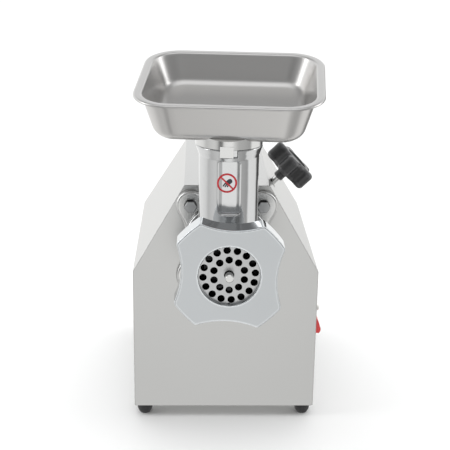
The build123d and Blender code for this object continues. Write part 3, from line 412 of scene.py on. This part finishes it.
def nut_field(x, y, z):
    a = x * math.cos(NUT_TURN) + (z - AXIS_Z) * math.sin(NUT_TURN)
    b = (z - AXIS_Z) * math.cos(NUT_TURN) - x * math.sin(NUT_TURN)
    u, v = np.abs(a), np.abs(b)
    reach = CORNER_CENTRE * math.sqrt(0.5)
    outline = np.hypot(u - reach, v - reach) - CORNER_RADIUS
    for side in (np.hypot(u - SIDE_CENTRE, v), np.hypot(u, v - SIDE_CENTRE)):
        outline = soft_max(outline, SIDE_RADIUS - side, 2.5)
    radial = np.hypot(a, b)
    hollow = np.minimum(radial - NUT_OPENING, np.maximum(radial - NUT_BORE, NUT_SHOULDER - y))
    return soft_max(slab(outline, y, NUT_FRONT, NUT_REAR, 1.6), -hollow, 0.8)


# ---------------------------------------------------------------- clamp knob
CLAMP_ANGLE, CLAMP_Y = math.radians(44.5), 56.0
KNOB_BACK, KNOB_FACE, KNOB_CORE = 97.0, 120.0, 22.5     # two places along the screw, and a radius
LOBE_COUNT, LOBE_REACH, LOBE_RADIUS, FIRST_LOBE = 5, 22.3, 8.2, 20
HUB_RADIUS, HUB_BACK, RECESS_RADIUS, RECESS_DEPTH = 6.2, 87, 14.5, 1.8
SCREW_HOLE, SCREW_HOLE_END = 4.02, 111.6


def knob_field(x, y, z):
    along = x * math.cos(CLAMP_ANGLE) + (z - AXIS_Z) * math.sin(CLAMP_ANGLE)
    a, b = y - CLAMP_Y, (z - AXIS_Z) * math.cos(CLAMP_ANGLE) - x * math.sin(CLAMP_ANGLE)
    radial = np.hypot(a, b)
    outline = radial - KNOB_CORE
    for lobe in range(LOBE_COUNT):
        turn = math.radians(FIRST_LOBE + 360 / LOBE_COUNT * lobe)
        lobe_out = np.hypot(a - LOBE_REACH * math.cos(turn), b - LOBE_REACH * math.sin(turn))
        outline = soft_min(outline, lobe_out - LOBE_RADIUS, 4)
    shape = slab(outline, along, KNOB_BACK, KNOB_FACE, 4.5)
    hub = disc(radial, along, HUB_RADIUS, HUB_BACK, KNOB_BACK + 3, 1.0)
    shape = soft_min(shape, hub, 3)
    face_recess = disc(radial, along, RECESS_RADIUS, KNOB_FACE - RECESS_DEPTH, KNOB_FACE + 10, 0.3)
    shape = soft_max(shape, -face_recess, 1.6)
    screw_hole = np.maximum(radial - SCREW_HOLE, along - SCREW_HOLE_END)
    return soft_max(shape, -screw_hole, 0.5)


# ---------------------------------------------------------------- feed tray
TRAY_TURN, TRAY_TILT = math.radians(-5.5), math.radians(11.7)
RIM_Y, RIM_Z = 27.0, 426.2
# width, depth and corner radius of the opening and of the floor
OPENING, FLOOR = (185.5, 147.8, 30.5), (158.0, 128.55, 24.0)
LIP, LIP_ROLL = 9.5, 2.2                    # the lip's width, and the radius of its rolled edge
RIM_BEND, FLOOR_BEND = 3.0, 12.0            # fillets at the top and at the foot of the walls
FLOOR_Y, FLOOR_DEPTH, FLOOR_SLOPE = -4.35, 39.6, math.radians(7.33)
SHEET, HOLE = 1.2, 26.7
PER_CORNER, PER_SIDE = 14, 16               # points along each corner and each side


def rounded_rectangle(width, depth, corner):
    """Points round a rounded rectangle, counter-clockwise, with their outward directions."""
    points, outward = [], []
    hw, hd = width / 2 - corner, depth / 2 - corner
    centres = ((hw, hd, 0), (-hw, hd, 90), (-hw, -hd, 180), (hw, -hd, 270))
    for index, (cx, cy, start) in enumerate(centres):
        for step in range(PER_CORNER + 1):
            angle = math.radians(start + 90 * step / PER_CORNER)
            points.append((cx + corner * math.cos(angle), cy + corner * math.sin(angle)))
            outward.append((math.cos(angle), math.sin(angle)))
        nx, ny, turn = centres[(index + 1) % 4]
        angle = math.radians(turn)
        last = points[-1]
        following = (nx + corner * math.cos(angle), ny + corner * math.sin(angle))
        for step in range(1, PER_SIDE):
            t = step / PER_SIDE
            points.append((last[0] + (following[0] - last[0]) * t, last[1] + (following[1] - last[1]) * t))
            outward.append(outward[-1])
    return np.array(points), np.array(outward)


def at_height(xy, z):
    return np.column_stack([xy, np.full(len(xy), z)])


def floor_height(y):
    """Height of the sloping floor's plane at some places along the tray, in the rim's own axes."""
    return (y - FLOOR_Y) * math.tan(FLOOR_SLOPE) - FLOOR_DEPTH


def on_floor(xy):
    """Points laid out in the floor's plane, in the rim's own axes."""
    y = FLOOR_Y + xy[:, 1] * math.cos(FLOOR_SLOPE)
    return np.column_stack([xy[:, 0], y, floor_height(y)])


def hole_centre():
    """Where the throat's upright axis passes through the floor."""
    low, high = to_rim(np.array([[0.0, THROAT_Y, 0.0], [0.0, THROAT_Y, 1000.0]]))
    above_low, above_high = low[2] - floor_height(low[1]), high[2] - floor_height(high[1])
    return low + (high - low) * above_low / (above_low - above_high)


def tray_rings():
    """Rings of points from the lip's rolled edge down to the hole, in the rim's own axes."""
    rim, outward = rounded_rectangle(*OPENING)
    rings = []
    for degrees in (90, 60, 30, 0):
        roll = math.radians(degrees)
        reach = LIP - LIP_ROLL * (1 - math.sin(roll))
        rings.append(at_height(rim + outward * reach, LIP_ROLL * (math.cos(roll) - 1)))
    for share in (0.7, 0.62, 0.5, 0.4):
        rings.append(at_height(rim + outward * LIP * share, 0.0))
    low, floor_out = rounded_rectangle(*FLOOR)
    foot, top = on_floor(low), at_height(rim, 0.0)
    inward = on_floor(low - floor_out) - foot
    wall = top - foot
    rings += bend(top, at_height(outward, 0.0), -wall, RIM_BEND, 5)
    lower = bend(foot, wall, inward, FLOOR_BEND, 10)
    wall_top = rings[-1]
    for t in (0.1, 0.3, 0.5, 0.7, 0.9):
        rings.append(wall_top + (lower[0] - wall_top) * t)
    rings += lower
    edge, centre = rings[-1], hole_centre()
    spoke = edge[:, :2] - centre[:2]
    spoke /= np.linalg.norm(spoke, axis=1)[:, None]
    hole = centre[:2] + spoke * HOLE
    hole = np.column_stack([hole, floor_height(hole[:, 1])])
    for t in np.linspace(0.1, 1.0, 12):
        rings.append(edge + (hole - edge) * t)
    return rings


def bend(corner, first, second, radius, steps):
    """Rings round a fillet at a corner, from the first direction to the second."""
    first = first / np.linalg.norm(first, axis=1)[:, None]
    second = second / np.linalg.norm(second, axis=1)[:, None]
    half = np.arccos(np.clip((first * second).sum(1), -1, 1))[:, None] / 2
    bisector = first + second
    bisector /= np.linalg.norm(bisector, axis=1)[:, None]
    centre = corner + bisector * radius / np.sin(half)
    begin = corner + first * radius / np.tan(half) - centre
    finish = corner + second * radius / np.tan(half) - centre
    sweep = np.pi - 2 * half
    return [centre + (np.sin((1 - t) * sweep) * begin + np.sin(t * sweep) * finish) / np.sin(sweep)
            for t in np.linspace(0, 1, steps)]


def rim_axes():
    across = np.array([math.cos(TRAY_TURN), math.sin(TRAY_TURN), 0])
    back = np.array([-math.sin(TRAY_TURN), math.cos(TRAY_TURN), 0])
    up = np.array([0, 0, 1.0])
    origin = np.array([0, THROAT_Y, RIM_Z]) + back * RIM_Y
    return origin, np.array([across, back * math.cos(TRAY_TILT) + up * math.sin(TRAY_TILT),
                             -back * math.sin(TRAY_TILT) + up * math.cos(TRAY_TILT)])


def to_rim(points):
    origin, axes = rim_axes()
    return (points - origin) @ axes.T


def add_tray(look):
    origin, axes = rim_axes()
    rings = tray_rings()
    count = len(rings[0])
    points = np.concatenate([origin + ring @ axes for ring in rings])
    faces = []
    for start in range(0, (len(rings) - 1) * count, count):
        for i in range(count):
            j = (i + 1) % count
            faces.append((start + i, start + j, start + count + j, start + count + i))
    tray = piece("tray_pan_pressed", points / 1000, faces, "tray", "tray_pan", look)
    form = bmesh.new()
    form.from_mesh(tray.data)
    form.normal_update()
    floor_faces = [f for f in form.faces if f.index >= (len(rings) - 2) * count]
    if sum(f.normal.z for f in floor_faces) < 0:
        bmesh.ops.reverse_faces(form, faces=form.faces)
    form.to_mesh(tray.data)
    form.free()
    thicken = tray.modifiers.new("sheet", "SOLIDIFY")
    thicken.thickness, thicken.offset = SHEET / 1000, -1


# ---------------------------------------------------------------- sign on the throat
SIGN_X, SIGN_Z, SIGN_RADIUS, SIGN_RING, SLASH_HALF = -2.6, 322.5, 10.8, 2.0, 0.85
FILM = 0.12             # thickness of the sign's film
# the plain open hand: where the palm and the three fingers start and end, and their half widths
HAND = (((-1.0, -1.2), (5.2, 3.6), 2.6), ((-1.2, 0.6), (-4.4, -3.8), 0.75),
        ((0.4, -0.6), (-2.4, -4.6), 0.7), ((2.0, -1.2), (0.2, -4.6), 0.65))


def throat_front(x, z):
    """Where the throat's front stands at some places across it."""
    near, far = np.full(len(x), -86.0), np.full(len(x), -70.0)
    for _ in range(24):
        middle = (near + far) / 2
        outside = head_field(x, middle, z) > 0
        near, far = np.where(outside, middle, near), np.where(outside, far, middle)
    return near


def wrapped(name, outline_pairs, lift, look):
    """A thin band between two lists of (x, z) points, laid on the throat's front."""
    inner, outer = (np.array(side, float) for side in outline_pairs)
    rows = [inner + (outer - inner) * t for t in np.linspace(0, 1, 7)]
    count = len(inner)
    grid = np.concatenate(rows)
    x, z = SIGN_X + grid[:, 0], SIGN_Z + grid[:, 1]
    points = np.column_stack([x, throat_front(x, z) - lift, z])
    faces = [(r * count + i, r * count + i + 1, (r + 1) * count + i + 1, (r + 1) * count + i)
             for r in range(len(rows) - 1) for i in range(count - 1)]
    band = piece(name, points / 1000, faces, "head", None, look)
    thicken = band.modifiers.new("film", "SOLIDIFY")
    thicken.thickness, thicken.offset = FILM / 1000, 0


def add_sign(red, dark):
    turn = np.linspace(0, 2 * np.pi, 97)
    circle = np.column_stack([np.cos(turn), np.sin(turn)])
    wrapped("sign_ring_red", (circle * (SIGN_RADIUS - SIGN_RING), circle * SIGN_RADIUS), 0.25, red)
    along, side = np.array([1, -1]) / math.sqrt(2), np.array([1, 1]) / math.sqrt(2)
    run = np.linspace(-1, 1, 41)[:, None] * (SIGN_RADIUS - 1.2) * along
    wrapped("sign_slash_red", (run - side * SLASH_HALF, run + side * SLASH_HALF), 0.42, red)
    t = np.linspace(0, 1, 31)[:, None]
    for index, (start, end, width) in enumerate(HAND):
        start, end = np.array(start), np.array(end)
        line = start + (end - start) * t
        normal = np.array([-(end - start)[1], (end - start)[0]])
        normal = normal / np.linalg.norm(normal)
        half = width * np.sqrt(np.clip(1 - (2 * t - 1) ** 4, 0.02, 1))
        wrapped(f"sign_mark_{index}", (line - normal * half, line + normal * half), 0.25, dark)


# ---------------------------------------------------------------- materials
HORIZONTAL_BRUSH = (0.02, 1.0, 1.0)
VERTICAL_BRUSH = (1.0, 1.0, 0.02)
LENGTH_BRUSH = (1.0, 0.02, 1.0)
LAMINATED = (0.02, 1.0, 0.02)
PLATE_GROUND = (1, 0.03, 0.25)
WOUND = (1.0, 0.05, 0.4)
# inside this radius the head's bore is darkened with painted shade
HEAD_BORE = 0.0356      # a little more than the radius of the plate's seat in the head, in metres

finishes = {
    "stainless_sheet": metal("stainless_sheet_look", (0.50, 0.50, 0.494), 0.25, VERTICAL_BRUSH, 1400,
                             grain_bump=0.008, cloud=0.012, streak_rough=0.015),
    "stainless_tray": metal("stainless_tray_look", (0.56, 0.552, 0.543), 0.31, HORIZONTAL_BRUSH, 1200,
                            grain_bump=0.012, cloud=0.015, streak_rough=0.02),
    # the head's bore gets painted shade out to HEAD_BORE
    "polished_casting": metal("polished_casting_look", (0.57, 0.574, 0.578), 0.10, grain_scale=300,
                              cloud=0.03, streak_rough=0.03, wave=0.16, painted_shade_bore=HEAD_BORE),
    "satin_casting": metal("satin_casting_look", (0.565, 0.585, 0.60), 0.36, grain_scale=1500,
                           cloud=0.03, streak_rough=0.05, edges=0.1, bright_sides=True),
    # the grinder plate's hole walls and rim are blackened with painted shade
    "plate_steel": metal("plate_steel_look", (0.52, 0.525, 0.53), 0.33, PLATE_GROUND, 900,
                         grain_bump=0.06, cloud=0.05, painted_shade_sides=True),
    "screw_steel": metal("screw_steel_look", (0.42, 0.42, 0.415), 0.26, grain_bump=0.08, cloud=0.08,
                         edges=0.1),
    "machined_steel": metal("machined_steel_look", (0.62, 0.62, 0.615), 0.24, LENGTH_BRUSH, 1100,
                            grain_bump=0.06, cloud=0.05),
    "gear_steel": metal("gear_steel_look", (0.42, 0.42, 0.41), 0.30, grain_bump=0.10, cloud=0.12),
    "electrical_steel": metal("electrical_steel_look", (0.34, 0.34, 0.36), 0.45, LAMINATED, 1300,
                              grain_bump=0.25, cloud=0.18),
    "bare_iron": metal("bare_iron_look", (0.25, 0.25, 0.26), 0.55, grain_scale=500, grain_bump=0.35,
                       cloud=0.15),
    "cast_aluminium": metal("cast_aluminium_look", (0.63, 0.635, 0.64), 0.45, grain_scale=600,
                            grain_bump=0.25, cloud=0.06),
    "bronze": metal("bronze_look", (0.66, 0.44, 0.20), 0.35, LENGTH_BRUSH, 800, grain_bump=0.08, cloud=0.10),
    "copper_winding": metal("copper_winding_look", (0.62, 0.24, 0.09), 0.35, WOUND, 500,
                            grain_bump=0.5, cloud=0.2),
    "painted_shell": plastic("painted_shell_look", (0.035, 0.037, 0.04), 0.38, bump=0.15, scale=350),
    "black_rubber": plastic("black_rubber_look", (0.022, 0.022, 0.023), 0.62, spec=0.35, bump=0.12,
                            scale=450),
    "grey_seal": plastic("grey_seal_look", (0.10, 0.10, 0.105), 0.6),
    "gasket_paper": plastic("gasket_paper_look", (0.30, 0.22, 0.14), 0.8, bump=0.2),
    # the strong edge paling here paints a highlight along the star knob's edges
    "black_phenolic": plastic("black_phenolic_look", (0.018, 0.018, 0.019), 0.30, bump=0.04, scale=500,
                              edges=1.5),
    "black_nylon": plastic("black_nylon_look", (0.025, 0.025, 0.027), 0.45, bump=0.08, scale=500),
    "red_plastic": plastic("red_plastic_look", (0.62, 0.012, 0.015), 0.22, coat=0.3),
    "white_plastic": plastic("white_plastic_look", (0.72, 0.715, 0.69), 0.42),
}
sign_red = plastic("sign_red_look", (0.56, 0.02, 0.03), 0.4, bump=0.03)
sign_dark = plastic("sign_dark_look", (0.03, 0.03, 0.04), 0.4, bump=0.03)

# nodes that look different from the rest of their slot; the worm and the knife are darkened with painted
# shade, so the plate's holes read dark
special = {
    "auger": metal("painted_shade_worm_look", (0.10, 0.10, 0.105), 0.38, grain_scale=500, grain_bump=0.08, cloud=0.12),
    "cutter_knife": metal("painted_shade_knife_look", (0.035, 0.035, 0.037), 0.5, grain_scale=600, grain_bump=0.08,
                          cloud=0.12),
    "tray_neck": metal("polished_sheet_look", (0.61, 0.61, 0.605), 0.12, cloud=0.02, streak_rough=0.03,
                       wave=0.05),
    # the bolts share the plate's look, so their hex sides get the same painted shade
    "flange_bolts": finishes["plate_steel"],
}
slot_of = {s["node"]: s["material_slot"] for s in frame["record"]["subparts"]}
for name, thing in nodes.items():
    look = special.get(name, finishes[slot_of[name]])
    if not thing.material_slots:
        thing.data.materials.append(look)
    for entry in thing.material_slots:
        entry.material = look


cast("grinder_head_cast", head_field, (-54, -117, 180), (54, 76, 364), 1.25, "head", "grinder_head",
     finishes["polished_casting"])
cast("mounting_flange_cast", flange_field, (-62, -11, 168), (62, 3, 296), 1.0, "frame", "mounting_flange",
     finishes["machined_steel"])
cast("star_knob_moulded", knob_field, (35, 22, 262), (112, 90, 346), 1.1, "clamp_screw", "star_knob",
     finishes["black_phenolic"])
cast("ring_nut_cast", nut_field, (-70, -123, 162), (70, -93, 302), 1.0, "ring_nut", "ring_nut",
     finishes["satin_casting"])
add_tray(finishes["stainless_tray"])
add_sign(sign_red, sign_dark)


# ---------------------------------------------------------------- stage and light
FLOOR_HALF, DOME_RADIUS = 6, 8
LAMP_TARGET = Vector((0, 0, 0.3))
# brightness by elevation in degrees: the dim room behind the camera, and the bright screens behind the
# object and overhead
FRONT = ((-90, 0.84), (-50, 0.84), (-34, 0.72), (-24, 0.84), (-17, 0.92), (-9, 0.86), (-1, 0.55), (6, 0.34),
         (30, 0.28), (46, 0.34), (60, 0.9), (90, 1.0))
BACK = ((-90, 0.80), (-30, 0.84), (-8, 0.86), (8, 0.90), (36, 0.88), (44, 0.55), (52, 0.30), (64, 0.27),
        (72, 0.8), (90, 1.0))
# brightness of the panels round about, by azimuth in degrees from the front towards the right
AROUND = ((-180, 1.0), (-118, 1.0), (-100, 0.92), (-84, 0.66), (-52, 0.78), (-41, 0.62), (-34, 0.22),
          (-25, 0.26), (-19, 0.85), (-10, 1.0), (9, 1.0), (17, 0.78), (30, 0.55), (52, 0.50), (74, 0.42),
          (82, 1.0), (112, 1.0), (124, 0.9), (133, 0.08), (150, 0.12), (158, 1.0), (180, 1.0))
TINT = ((0.0, (1.0, 1.0, 0.99)), (1.0, (0.985, 0.993, 1.0)))


def add_floor():
    mesh = bpy.data.meshes.new("floor")
    form = bmesh.new()
    bmesh.ops.create_grid(form, x_segments=8, y_segments=8, size=FLOOR_HALF)
    form.to_mesh(mesh)
    form.free()
    floor = bpy.data.objects.new("floor", mesh)
    bpy.context.scene.collection.objects.link(floor)
    g = Graph("floor_look")
    cloud = g.ramp(g.noise(1.2, 2, 0.4), 0.3, 0.7)
    g.link(g.mix(cloud, (0.86, 0.86, 0.855, 1), (0.88, 0.88, 0.875, 1)), g.shader.inputs["Base Color"])
    g.shader.inputs["Roughness"].default_value = 0.85
    mesh.materials.append(g.material)
    floor.visible_glossy = False


def add_backdrop():
    """A plain white dome far round the floor, seen only directly."""
    mesh = bpy.data.meshes.new("backdrop")
    form = bmesh.new()
    bmesh.ops.create_uvsphere(form, u_segments=64, v_segments=32, radius=DOME_RADIUS)
    for face in form.faces:
        face.smooth = True
    form.to_mesh(mesh)
    form.free()
    dome = bpy.data.objects.new("backdrop", mesh)
    bpy.context.scene.collection.objects.link(dome)
    g = Graph("backdrop_look")
    g.shader.inputs["Base Color"].default_value = (0, 0, 0, 1)
    g.shader.inputs["Specular IOR Level"].default_value = 0
    g.shader.inputs["Emission Color"].default_value = (1, 1, 1, 1)
    g.shader.inputs["Emission Strength"].default_value = 1.0
    mesh.materials.append(g.material)
    dome.visible_glossy = dome.visible_diffuse = False
    dome.visible_shadow = dome.visible_transmission = False


def add_area(name, place, size, power):
    """A tall soft lamp that faces the middle of the object."""
    data = bpy.data.lights.new(name, "AREA")
    data.shape = "RECTANGLE"
    data.size, data.size_y = size
    data.energy = power
    lamp = bpy.data.objects.new(name, data)
    lamp.location = place
    lamp.rotation_euler = (LAMP_TARGET - Vector(place)).to_track_quat("-Z", "Y").to_euler()
    bpy.context.scene.collection.objects.link(lamp)


def add_sky_light():
    """Very soft light from overhead that lights the whole floor evenly and isn't seen in the metal."""
    data = bpy.data.lights.new("overhead", "SUN")
    data.energy, data.angle = 1.45, math.radians(100)
    lamp = bpy.data.objects.new("overhead", data)
    lamp.rotation_euler = (math.radians(-8), math.radians(4), 0)
    lamp.visible_glossy = False
    bpy.context.scene.collection.objects.link(lamp)


def add_world():
    """Studio surroundings: bright above and greyer below, with a few dark panels for the metal to show."""
    world = bpy.data.worlds.new("studio")
    world.use_nodes = True
    tree = world.node_tree
    add, link = tree.nodes.new, tree.links.new
    place, split = add("ShaderNodeTexCoord"), add("ShaderNodeSeparateXYZ")
    link(place.outputs["Generated"], split.inputs[0])

    def scale(source, low, high, to_low=0.0, to_high=1.0):
        node = add("ShaderNodeMapRange")
        link(source, node.inputs["Value"])
        for key, number in (("From Min", low), ("From Max", high), ("To Min", to_low), ("To Max", to_high)):
            node.inputs[key].default_value = number
        return node.outputs["Result"]

    def bands(source, stops):
        ramp = add("ShaderNodeValToRGB")
        link(source, ramp.inputs["Fac"])
        steps = ramp.color_ramp.elements
        while len(steps) < len(stops):
            steps.new(0.5)
        for step, (position, colour) in zip(steps, stops):
            step.position, step.color = position, (*colour, 1)
        return ramp.outputs["Color"]

    def grey(level):
        return (level, level, level)

    def elevation(stops):
        """Brightness by elevation in degrees above the horizon."""
        return bands(scale(split.outputs["Z"], -1, 1),
                     [((math.sin(math.radians(a)) + 1) / 2, grey(v)) for a, v in stops])

    def blend(kind, a, b):
        node = add("ShaderNodeMix")
        node.data_type, node.blend_type = "RGBA", kind
        node.inputs["Factor"].default_value = 1.0
        link(a, node.inputs[6])
        link(b, node.inputs[7])
        return node

    height = blend("MIX", elevation(FRONT), elevation(BACK))
    link(scale(split.outputs["Y"], -0.35, 0.25), height.inputs["Factor"])
    behind = add("ShaderNodeMath")
    behind.operation = "MULTIPLY"
    behind.inputs[1].default_value = -1
    link(split.outputs["Y"], behind.inputs[0])
    turn = add("ShaderNodeMath")
    turn.operation = "ARCTAN2"
    link(split.outputs["X"], turn.inputs[0])
    link(behind.outputs[0], turn.inputs[1])
    around = bands(scale(turn.outputs[0], -math.pi, math.pi), [((a + 180) / 360, grey(v)) for a, v in AROUND])
    # the panels fade out towards the ceiling
    lit = blend("MULTIPLY", height.outputs[2], around)
    link(scale(split.outputs["Z"], 0.1, 0.5, 1.0, 0.0), lit.inputs["Factor"])
    tinted = blend("MULTIPLY", lit.outputs[2], bands(scale(split.outputs["Z"], -0.1, 0.5), TINT))
    background = tree.nodes["Background"]
    link(tinted.outputs[2], background.inputs["Color"])
    background.inputs["Strength"].default_value = 1.35
    bpy.context.scene.world = world


add_camera()
add_floor()
add_backdrop()
add_world()
add_area("left", (-1.5, -0.2, 1.0), (0.5, 1.6), 7)
add_area("right", (1.6, 0.1, 1.0), (0.4, 1.6), 5)
add_sky_light()

bpy.context.scene.view_settings.view_transform = "Standard"
